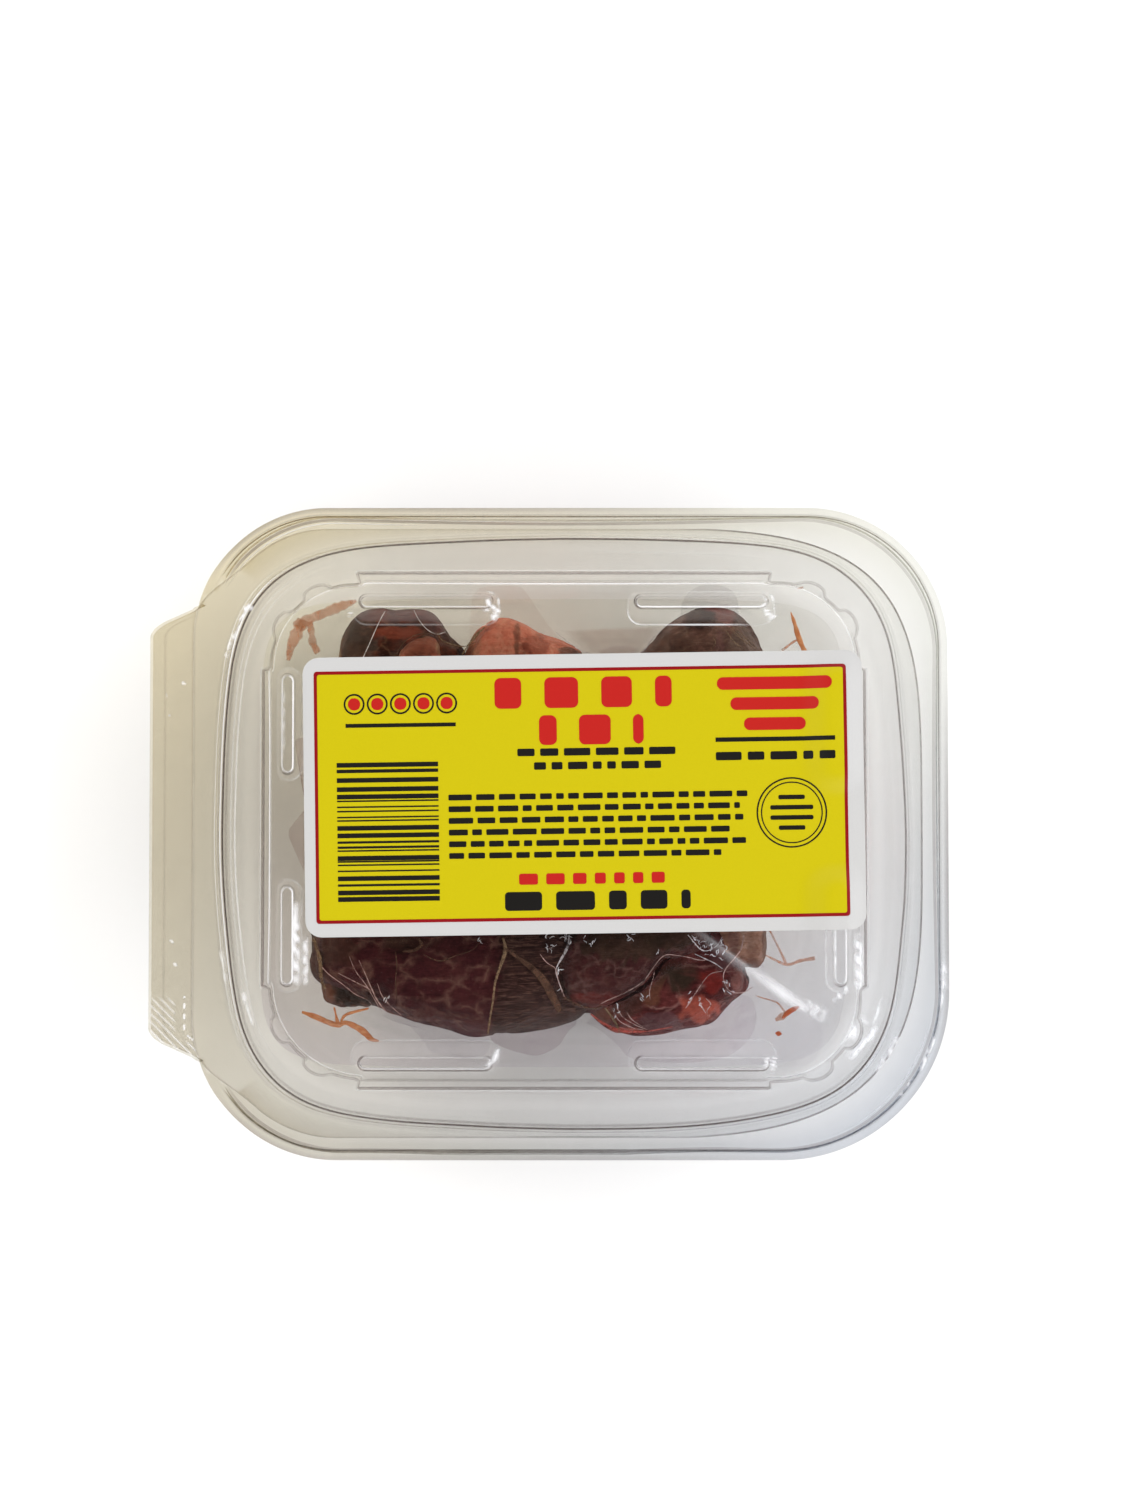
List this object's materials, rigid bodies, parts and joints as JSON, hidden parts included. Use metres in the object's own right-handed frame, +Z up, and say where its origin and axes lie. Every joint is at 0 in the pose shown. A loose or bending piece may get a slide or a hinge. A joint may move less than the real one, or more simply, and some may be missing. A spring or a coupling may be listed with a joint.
{
  "type": "packed char siu pork",
  "caption": "Shut clear hinged food pack with a raised lid panel, folded tear strip and paper label, holding a vacuum pouch of roast pork chunks.",
  "frame": {"origin": "middle of the pack's footprint, tear strip included, on the surface that it stands on", "axes": "+Z up; +X away from the tear strip, along the label's long side; +Y towards the label's top edge"},
  "size_m": [0.1468, 0.1202, 0.047],
  "materials": {
    "clear_plastic": "clear thin formed plastic sheet, glossy",
    "label_paper": "smooth coated paper, yellow print field in a white border",
    "pork_in_film": "moist maroon and brick-red roast pork under clear vacuum film"
  },
  "bodies": {
    "root": {"tray": "clear_plastic", "lid": "clear_plastic", "tear_strip": "clear_plastic", "label": "label_paper", "pouch": "pork_in_film"}
  },
  "joints": []
}
